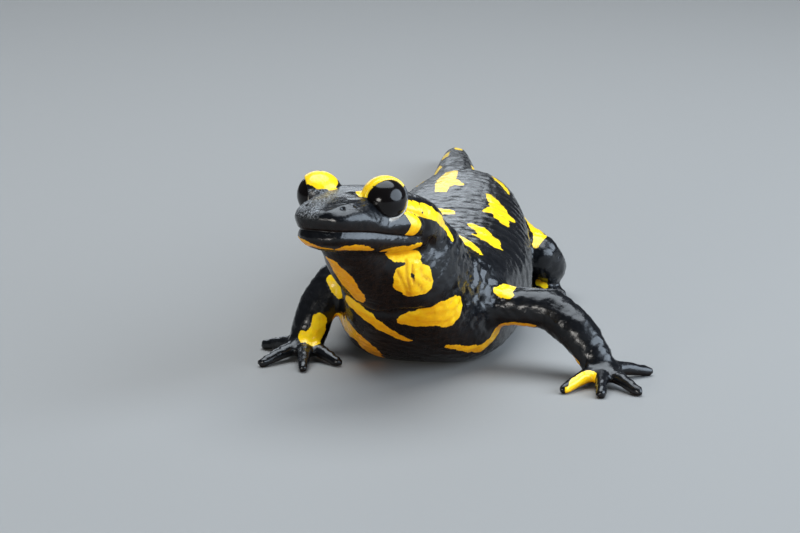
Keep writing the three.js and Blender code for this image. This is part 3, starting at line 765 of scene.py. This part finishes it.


# -------------------- yellow markings
# The warning pattern: lemon blotches with crisp, slightly wavy edges on black, deepened to orange as
# painted shade where the skin faces down.
# Each is laid down like strokes of a round brush: a row of touches, each a place on the
# skin and the brush's radius there. Each vertex carries how far inside the paint it is.

# on the head: forward, left, up, radius of the brush
HEAD_STROKES = [
    # both upper lids
    [(1.8, 2.0, 0.9, 0.4), (2.2, 2.7, 1.1, 0.75), (2.5, 3.3, 1.4, 1.0), (2.2, 4.0, 2.1, 1.1)],
    [(1.5, 2.1, 1.1, 0.7), (1.5, 3.7, 2.2, 1.1), (0.6, 5.0, 2.7, 1.2), (-0.9, 5.8, 2.3, 1.1),
     (-2.0, 5.6, 1.4, 0.9)],
    [(1.2, -2.3, 1.4, 0.8), (1.4, -3.6, 2.2, 1.5), (1.2, -5.4, 2.0, 1.5), (-0.8, -5.8, 2.3, 1.4),
     (-2.0, -5.4, 1.4, 1.0)],
    [(0.4, -3.0, 2.0, 1.2), (-1.0, -4.0, 2.4, 1.3)],
    # the left parotoid gland, then the right
    [(-2.1, 6.6, 0.1, 0.4), (-1.9, 7.0, -0.7, 0.5), (-2.0, 7.1, -1.4, 0.3)],
    [(-2.2, 6.8, -0.5, 0.7), (-3.1, 7.4, -1.0, 0.95), (-4.0, 7.8, -1.5, 1.0),
     (-5.5, 8.2, -1.9, 0.95), (-7.3, 8.4, -2.7, 0.8), (-9.7, 8.1, -3.7, 0.65)],
    [(-2.5, -6.9, -0.6, 0.5), (-4.0, -7.7, -1.2, 0.9), (-6.4, -8.3, -1.9, 0.9),
     (-8.6, -8.2, -2.7, 0.7), (-10.2, -7.7, -3.4, 0.5)],
    # the corners of the jaw
    [(-1.0, 7.2, -1.5, 0.3), (-1.8, 7.5, -2.2, 0.65), (-2.4, 7.9, -2.9, 0.95),
     (-2.5, 8.1, -3.5, 0.95), (-2.2, 7.8, -4.3, 0.8), (-1.4, 7.4, -4.6, 0.4)],
    [(-1.6, -7.4, -2.1, 0.5), (-2.9, -7.9, -3.1, 0.8), (-2.6, -7.8, -4.1, 0.6)],
    # under the right half of the chin, under the left half, and under the left jaw
    [(7.2, 0.9, -5.8, 0.4), (7.8, -0.6, -5.4, 0.8), (8.1, -1.9, -5.1, 0.85),
     (7.3, -3.0, -5.1, 0.9), (5.8, -4.0, -5.4, 0.8)],
    [(6.8, 1.7, -5.8, 0.35), (6.9, 2.8, -5.4, 0.55), (5.8, 3.6, -5.5, 0.65),
     (4.3, 4.2, -5.7, 0.6), (2.6, 4.3, -6.1, 0.35)],
    [(0.6, 4.8, -6.5, 0.35), (-0.3, 5.5, -6.3, 0.6), (-1.6, 6.0, -6.5, 0.8),
     (-2.9, 6.3, -6.6, 0.85), (-4.2, 6.8, -6.6, 0.9), (-5.2, 7.0, -6.4, 0.5)],
    [(-1.2, 4.9, -6.8, 0.4), (-2.8, 5.2, -7.2, 0.7), (-4.8, 5.7, -7.7, 0.85),
     (-6.2, 6.1, -7.9, 0.8)],
]
# small black pores left clear in the paint
HEAD_PORES = [
    (-3.4, 6.9, -0.4), (-4.4, 7.4, -0.9), (-5.3, 7.8, -1.2), (-5.6, 8.1, -1.8), (-4.4, 8.0, -1.9),
    (-6.6, 8.4, -2.2), (-7.5, 8.5, -2.5), (-2.5, 7.7, -2.6), (2.1, 4.3, 1.8), (-6.0, 8.4, -2.6),
]
PORE_RADIUS = 0.09

# on the body: x, y, z, radius of the brush
BODY_STROKES = [
    # the end of the left parotoid band on the neck
    [(4.6, 2.9, 24.2, 0.65), (5.5, 5.1, 23.1, 0.65), (6.0, 7.5, 21.7, 0.6),
     (6.4, 7.8, 20.9, 0.6), (6.8, 7.8, 20.1, 0.4)],
    # the ring on the left of the throat and its link to the jaw
    [(-1.5, -0.6, 20.0, 0.5), (-0.8, 0.7, 19.5, 0.65), (0.2, 1.2, 19.1, 0.7), (1.2, 1.7, 18.8, 0.7)],
    [(1.6, 2.1, 18.8, 1.0), (1.7, 2.2, 17.8, 1.25), (1.8, 2.2, 16.8, 1.35)],
    [(0.5, 1.6, 16.8, 1.35), (0.4, 1.9, 15.4, 1.35), (1.7, 2.5, 14.9, 1.7),
     (3.0, 3.0, 15.2, 1.5), (3.0, 2.8, 16.4, 1.45), (1.8, 2.1, 16.0, 1.6)],
    # the band on the right of the throat, and the collar that runs on from it
    [(-9.1, -0.2, 19.0, 0.7), (-8.6, -0.5, 18.6, 1.1), (-8.0, 0.2, 17.7, 1.35),
     (-7.3, 1.0, 16.6, 1.4), (-6.6, 2.1, 15.2, 1.3), (-5.9, 3.4, 13.9, 1.2),
     (-5.4, 4.8, 12.7, 0.9)],
    [(-6.9, 9.4, 11.3, 0.8), (-5.7, 8.5, 10.5, 0.9), (-4.2, 8.4, 9.3, 0.9),
     (-2.7, 8.8, 8.0, 0.85), (-1.1, 9.4, 6.9, 0.8), (0.5, 10.2, 5.8, 0.55), (1.4, 10.1, 5.5, 0.2)],
    # the bean on the breast, and the line below it that curls up under the arm
    [(0.6, 7.1, 9.3, 1.0), (1.9, 6.6, 9.5, 1.45), (3.6, 6.2, 9.9, 1.75), (5.3, 6.4, 10.2, 2.25),
     (6.8, 7.5, 10.2, 2.5)],
    [(6.4, 11.3, 4.5, 0.35), (8.0, 12.4, 4.0, 0.55), (9.8, 14.2, 3.4, 0.7),
     (11.2, 15.8, 3.2, 0.8), (12.3, 16.4, 4.0, 0.9), (13.2, 16.6, 5.0, 0.85),
     (14.0, 15.7, 6.1, 0.6), (15.5, 14.8, 6.5, 0.6), (17.3, 14.6, 6.6, 0.55),
     (18.6, 14.4, 6.8, 0.3)],
    # before the right shoulder, inside the right forearm, along the right of the belly
    [(-9.6, 23.4, 10.9, 0.7), (-8.9, 23.0, 10.0, 0.95), (-8.4, 22.7, 9.0, 0.9)],
    [(-11.0, 21.5, 5.3, 1.2), (-11.2, 21.2, 4.1, 1.4), (-12.1, 20.8, 3.1, 1.2)],
    [(-9.4, 28.0, 5.0, 0.9), (-7.8, 21.1, 4.9, 1.2), (-6.5, 16.6, 4.9, 1.35),
     (-5.4, 16.6, 3.6, 1.35), (-4.2, 18.0, 2.1, 1.2), (-3.0, 19.4, 0.9, 0.9)],
    [(-7.3, 17.6, 6.2, 1.0), (-6.2, 15.2, 5.6, 1.2), (-5.2, 15.1, 4.5, 1.25),
     (-4.1, 16.2, 3.1, 1.1), (-3.1, 17.6, 1.8, 0.8)],
    [(-9.0, 34.0, 4.6, 1.2), (-8.6, 41.0, 4.4, 1.5), (-6.8, 48.0, 4.4, 1.1)],
    # the left shoulder's top, the left forearm's inside, the palm and inner digits
    [(13.4, 15.3, 11.4, 0.8), (14.4, 15.9, 11.4, 1.1), (15.2, 17.2, 11.5, 0.8)],
    [(13.7, 14.9, 11.0, 0.7), (14.6, 14.8, 10.9, 0.8)],
    [(22.4, 12.6, 4.6, 0.3), (23.4, 11.4, 3.6, 0.45), (24.0, 10.6, 2.6, 0.5)],
    [(22.1, 3.7, 0.7, 0.5), (22.9, 4.5, 1.0, 0.9), (24.1, 5.5, 1.2, 1.15), (25.2, 6.4, 1.4, 1.15)],
    # the two rows of blotches on the back: left from the shoulder to the hip
    [(7.7, 25.0, 16.8, 0.5), (8.7, 22.4, 16.7, 1.0), (9.8, 20.4, 16.3, 1.15),
     (10.7, 18.8, 15.8, 0.7)],
    [(10.0, 32.0, 16.6, 0.7), (11.3, 30.6, 16.2, 1.4), (12.5, 28.4, 15.7, 1.7),
     (13.4, 26.2, 15.1, 1.1)],
    [(10.4, 27.0, 16.4, 0.5), (11.7, 27.0, 16.0, 1.2), (12.9, 25.8, 15.4, 1.0)],
    [(13.3, 52.6, 16.8, 0.5), (14.1, 49.4, 16.4, 1.2), (15.0, 45.6, 15.8, 1.4),
     (16.2, 44.4, 15.1, 1.0)],
    [(12.4, 41.4, 16.6, 0.5), (13.7, 43.6, 16.2, 1.3), (15.2, 44.4, 15.6, 1.4)],
    [(14.4, 46.6, 16.1, 1.5), (14.6, 42.2, 15.8, 1.5), (15.2, 38.8, 15.4, 0.9)],
    [(16.2, 59.0, 14.6, 0.4), (16.3, 62.6, 15.3, 0.7), (15.5, 66.6, 15.9, 0.9),
     (14.6, 70.0, 15.8, 0.6)],
    # right of the middle, from the shoulder to the hip
    [(-1.6, 21.5, 16.6, 0.7), (-3.6, 24.5, 15.4, 1.2), (-5.0, 28.0, 14.6, 1.0)],
    [(3.4, 40.0, 17.2, 1.2), (5.6, 38.8, 17.3, 1.1), (7.4, 38.4, 17.3, 0.6)],
    [(5.0, 36.4, 17.2, 1.0), (7.0, 37.4, 17.3, 0.9)],
    [(-4.2, 36.0, 15.0, 1.3), (-5.2, 40.5, 14.4, 1.5), (-4.0, 44.0, 15.0, 0.8)],
    [(-1.6, 50.5, 16.2, 0.9), (-2.2, 54.0, 15.6, 1.3), (-0.6, 57.5, 16.0, 0.8)],
    [(6.0, 51.5, 17.6, 0.9), (6.6, 56.0, 17.6, 1.3), (7.2, 62.0, 17.5, 1.5),
     (8.2, 69.5, 17.2, 1.0)],
    [(9.0, 56.5, 17.6, 0.7), (7.8, 60.0, 17.5, 1.3)],
    [(2.6, 66.0, 15.4, 1.1), (2.8, 70.5, 14.8, 1.4), (3.8, 74.5, 14.6, 0.9)],
    # the thighs and feet
    [(19.4, 61.2, 10.9, 1.3), (20.7, 58.0, 10.5, 1.15), (21.4, 55.6, 10.1, 1.15),
     (20.6, 53.1, 9.0, 0.6)],
    [(21.1, 55.9, 2.4, 0.5), (22.0, 55.4, 2.0, 0.55)],
    [(0.4, 64.6, 10.9, 1.1), (-2.4, 63.0, 10.2, 1.2)],
    [(-6.8, 70.5, 3.4, 0.9), (-6.6, 67.8, 3.0, 0.8)],
    # the right upper arm from above, and the right hand
    [(-3.8, 23.4, 13.2, 0.9), (-5.6, 24.6, 13.2, 1.1)],
    [(-13.2, 22.0, 3.6, 0.7), (-13.6, 20.4, 3.2, 0.6)],
    # the tail
    [(5.2, 84.0, 10.6, 1.4), (5.3, 94.0, 8.6, 1.3), (6.2, 106.0, 7.6, 1.15),
     (7.0, 119.0, 7.3, 1.2), (7.6, 126.0, 6.6, 0.7)],
    [(13.4, 91.0, 9.2, 0.8), (13.5, 98.0, 8.6, 1.2), (13.2, 104.0, 8.0, 0.7)],
    [(13.2, 117.0, 7.0, 0.8), (13.2, 124.0, 6.6, 1.0), (12.8, 129.0, 6.2, 0.6)],
    [(8.6, 136.0, 6.4, 0.7), (8.6, 142.0, 5.8, 0.9), (9.2, 148.0, 5.4, 0.5)],
    [(11.2, 151.0, 5.4, 0.5), (11.4, 156.0, 4.8, 0.8), (11.2, 161.0, 4.0, 0.6)],
]
# the black slit left clear in the throat's ring
RING_SLIT = [(1.6, 2.1, 16.9, 0.06), (1.7, 2.2, 16.3, 0.16), (1.9, 2.4, 15.6, 0.06)]
FAR_FROM_PAINT = -5.0


def inside_strokes(points, strokes):
    """The brush's radius less the distance from its path, the largest over all the runs."""
    inside = np.full(len(points), FAR_FROM_PAINT)
    for stroke in strokes:
        for start, end in zip(stroke[:-1], stroke[1:]):
            away, radius = nearest_run(points, start, end)
            inside = np.maximum(inside, radius - away)
    return inside


def carry(name, values):
    """Stores one number for each vertex of the skin."""
    skin_mesh.attributes.new(name, "FLOAT", "POINT").data.foreach_set("value", values)


head_place = to_head(place)
paint = np.maximum(inside_strokes(head_place, HEAD_STROKES), inside_strokes(place, BODY_STROKES))
paint = np.minimum(paint, -inside_strokes(place, [RING_SLIT]))
for pore in HEAD_PORES:
    paint = np.minimum(paint, np.linalg.norm(head_place - pore, axis=1) - PORE_RADIUS)
carry("paint", paint)
# painted shade: the yellow is darkened in the throat's creases
carry("crease_shade", folded(place, [(1.0, line) for line in THROAT_CREASES]))
# painted shade: the yellow deepens to orange where the skin looks down, away from the lamps
carry("shade_orange", ramp(-facing_up, -0.15, 0.9))
# the right half of the snout's top is grainy and less wet, with painted grey glints of light in its
# grain
forward, left, up = head_place.T
snout_top = ramp(up, -2.4, -1.2) * ramp(-up, -1.3, -0.9) * ramp(forward, -1.0, 1.5)
carry("grain_and_glints", snout_top * ramp(-left, -0.5, 0.6) * ramp(facing_up, 0.0, 0.25))
# painted reflection: the loose skin of the throat is browner where it faces down, as if it mirrored
# warm ground
carry("throat_ground_reflection", ramp(-facing_up, -0.1, 0.7) * ramp(-place[:, 1], -30.0, -8.0))
# the pale rims of the lower lids: how far past the opening, and where there is a rim
both_eyes = zip(eye_polar(place, 1), eye_polar(place, -1))
distance, past, turn = (np.where(left > 0, *sides) for sides in both_eyes)
carry("past", np.clip(past, -1, 1))
carry("rim", ramp(-distance, -EYE_RADIUS - 0.5, -EYE_RADIUS - 0.3) * ramp(-np.cos(turn), 0.0, 0.3))

# the two tones that each colour of the skin drifts between
BLACKS = ((0.003, 0.0035, 0.0046), (0.006, 0.0065, 0.008))
# browns of a painted reflection of warm ground, on the throat's underside
GROUND_REFLECTION_BROWNS = ((0.004, 0.0022, 0.0016), (0.015, 0.0065, 0.0035))
LEMONS = ((0.92, 0.64, 0.010), (0.96, 0.56, 0.006))
# oranges of painted shade, for yellow that faces down
SHADE_ORANGES = ((0.86, 0.36, 0.004), (0.80, 0.26, 0.003))
# painted glints of light on the grainy snout
GLINT_GREY = (0.24, 0.25, 0.26)
# the painted shade of the yellow in the throat's creases
CREASE_SHADE = (0.42, 0.13, 0.004)
LID_PALE = (0.38, 0.34, 0.29)


def new_look(name):
    """A new material and its shader."""
    made = bpy.data.materials.new(name)
    made.use_nodes = True
    return made, made.node_tree.nodes["Principled BSDF"]


skin_look, wet = new_look("wet spotted skin")
nodes, links = skin_look.node_tree.nodes, skin_look.node_tree.links


def give(socket, value):
    """Links an output to a socket, or sets the socket to a number or a colour."""
    if isinstance(value, bpy.types.NodeSocket):
        links.new(value, socket)
    elif isinstance(value, tuple):
        socket.default_value = (*value, 1)
    else:
        socket.default_value = value


def node(kind, settings=(), **values):
    """A new shader node with its settings and what its sockets are given."""
    made = nodes.new("ShaderNode" + kind)
    for key, value in settings:
        setattr(made, key, value)
    for key, value in values.items():
        give(made.inputs[key.replace("_", " ")], value)
    return made


def carried(name):
    """The number stored under a name on the skin."""
    return node("Attribute", [("attribute_name", name)]).outputs["Fac"]


def plus(one, other, operation="ADD"):
    """The sum of an output and a number or another output."""
    step = node("Math", [("operation", operation)])
    give(step.inputs[0], one)
    give(step.inputs[1], other)
    return step.outputs[0]


def times(one, other):
    """Their product, made in the same way."""
    return plus(one, other, "MULTIPLY")


def between(value, low, high, to_low=0.0, to_high=1.0):
    """The value's range mapped onto another, held at its ends."""
    ends = {"From_Min": low, "From_Max": high, "To_Min": to_low, "To_Max": to_high}
    return node("MapRange", Value=value, **ends).outputs[0]


def blend(share, one, other):
    """A mix of two colours, given as triples or outputs."""
    step = node("Mix", [("data_type", "RGBA")])
    give(step.inputs[0], share)
    for socket, value in zip([x for x in step.inputs if x.type == "RGBA"], (one, other)):
        give(socket, value)
    return [x for x in step.outputs if x.type == "RGBA"][0]


where = node("TexCoord").outputs["Object"]


def noise(scale, detail=2.0, roughness=0.5):
    """Noise with features of 1/scale metres."""
    step = node("TexNoise", Vector=where, Scale=scale, Detail=detail, Roughness=roughness)
    return step.outputs["Fac"]


def cells(scale):
    """The distance from the nearest of scattered points, about 1/scale metres apart."""
    return node("TexVoronoi", Vector=where, Scale=scale).outputs["Distance"]


# wavy edges: the carried distance, in millimetres, is shifted by slow and by quick noise
waved = plus(carried("paint"), between(noise(700, 1.0), 0.25, 0.75, -0.16, 0.16))
waved = plus(waved, between(noise(3200, 2.0, 0.6), 0.25, 0.75, -0.09, 0.09))
painted = between(waved, -0.025, 0.035)

black = blend(between(noise(900, 3.0), 0.35, 0.7), *BLACKS)
# painted reflection: the black of the throat's underside is browned as if it mirrored warm ground
throat_ground_reflection = blend(between(noise(1500, 4.0, 0.65), 0.35, 0.65), *GROUND_REFLECTION_BROWNS)
black = blend(carried("throat_ground_reflection"), black, throat_ground_reflection)
# painted highlights: grey glints speckle the black on the snout's grain
glint_specks = times(carried("grain_and_glints"), between(noise(4200, 3.0, 0.7), 0.47, 0.6))
black = blend(glint_specks, black, GLINT_GREY)
lemon = blend(between(noise(1300, 3.0), 0.3, 0.7), *LEMONS)
# painted shade: the yellow turns orange where the skin looks down
shade_orange = blend(between(noise(1500, 3.0), 0.3, 0.7), *SHADE_ORANGES)
yellow = blend(carried("shade_orange"), lemon, shade_orange)
# painted shade: the yellow darkens in the throat's creases
yellow = blend(times(carried("crease_shade"), 0.75), yellow, CREASE_SHADE)
colour = blend(painted, black, yellow)
rim = times(between(carried("past"), -0.05, 0.02), between(carried("past"), 0.24, 0.15))
colour = blend(times(rim, carried("rim")), colour, LID_PALE)
give(wet.inputs["Base Color"], colour)

# wetter and drier patches; the throat's underside, with its painted brown reflection, is the least
# glossy
dryness = between(noise(450, 3.0), 0.3, 0.7, 0.17, 0.30)
give(wet.inputs["Roughness"], plus(dryness, times(carried("grain_and_glints"), 0.2)))
give(wet.inputs["Specular IOR Level"], between(carried("throat_ground_reflection"), 0.0, 1.0, 0.33, 0.07))
give(wet.inputs["Coat Weight"], between(carried("throat_ground_reflection"), 0.0, 0.8, 0.22, 0.0))
give(wet.inputs["Coat Roughness"], 0.09)

# fine grain of the wet skin: small warts, finer wrinkles, and coarse grain on the snout
warts = between(cells(1500), 0.0, 0.75, 1.0, 0.0)
grit = between(cells(4200), 0.0, 0.7, 1.0, 0.0)
relief = plus(times(warts, 0.3), times(noise(2600, 4.0, 0.6), 0.55))
relief = plus(relief, times(times(grit, carried("grain_and_glints")), 0.8))
bump = node("Bump", Strength=0.75, Distance=0.00011, Height=relief)
give(wet.inputs["Normal"], bump.outputs["Normal"])
skin_mesh.materials.append(skin_look)


# -------------------- eyes
# Two glossy black balls that bulge between the lids; against so dark an iris no pupil
# shows. Each is a ball about the same point as the solid eye.
eye_look, gloss = new_look("glossy black eye")
give(gloss.inputs["Base Color"], (0.004, 0.003, 0.003))
give(gloss.inputs["Roughness"], 0.13)
give(gloss.inputs["Specular IOR Level"], 0.28)

for name, side in (("eye_left", 1), ("eye_right", -1)):
    centre = from_head((0.0, side * EYE_SIDE, 0.0))
    grid = ball_grid(centre, (EYE_RADIUS,) * 3, rows=48, columns=64)
    # the first and last rows are each one point, so fans take their place
    points, faces = closed_faces([grid[1:-1]])
    ball_mesh = bpy.data.meshes.new(name + "_ball")
    ball_mesh.from_pydata(in_frame(points), [], faces)
    ball_mesh.shade_smooth()
    ball_mesh.materials.append(eye_look)
    ball = in_scene(name + "_ball", ball_mesh)
    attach(ball, "root")
    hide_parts(name)


# -------------------- floor and light
# A plain pale floor and cool studio lamps over, behind and beside the animal, with a weak
# warm one before it.
FLOOR_EDGE = 3.0
floor_corners = FLOOR_EDGE * np.array([(-1, -1, 0), (1, -1, 0), (1, 1, 0), (-1, 1, 0)])
floor_mesh = bpy.data.meshes.new("floor")
floor_mesh.from_pydata(floor_corners, [], [(0, 1, 2, 3)])
floor_look, plain = new_look("pale floor")
give(plain.inputs["Base Color"], (0.245, 0.238, 0.227))
give(plain.inputs["Roughness"], 0.8)
floor_mesh.materials.append(floor_look)
floor = in_scene("floor", floor_mesh)

COOL = (0.84, 0.92, 1.0)


def soft_light(name, place, size, power, colour=COOL):
    """A round or oval lamp at a place, turned to face the middle of the animal."""
    lamp = bpy.data.lights.new(name, "AREA")
    lamp.shape = "ELLIPSE"
    lamp.size, lamp.size_y = size
    lamp.energy = power
    lamp.color = colour
    holder = in_scene(name, lamp)
    holder.location = place
    towards = Vector((0, 0, 0.015)) - Vector(place)
    holder.rotation_euler = towards.to_track_quat("-Z", "Y").to_euler()


soft_light("overhead", (0.0, 0.05, 0.62), (0.8, 0.6), power=6.6)
soft_light("behind", (-0.15, 0.85, 0.27), (0.7, 0.3), power=1.0)
soft_light("side", (0.58, -0.24, 0.29), (0.95, 0.6), power=9.5, colour=(0.72, 0.85, 1.0))
soft_light("fill", (-0.4, -0.72, 0.14), (0.3, 0.2), power=2.2, colour=(1.0, 0.97, 0.92))
bpy.context.scene.view_settings.view_transform = "Standard"

world = bpy.data.worlds.new("room")
world.use_nodes = True
background = world.node_tree.nodes["Background"]
give(background.inputs["Color"], (0.75, 0.8, 0.88))
give(background.inputs["Strength"], 0.08)
bpy.context.scene.world = world
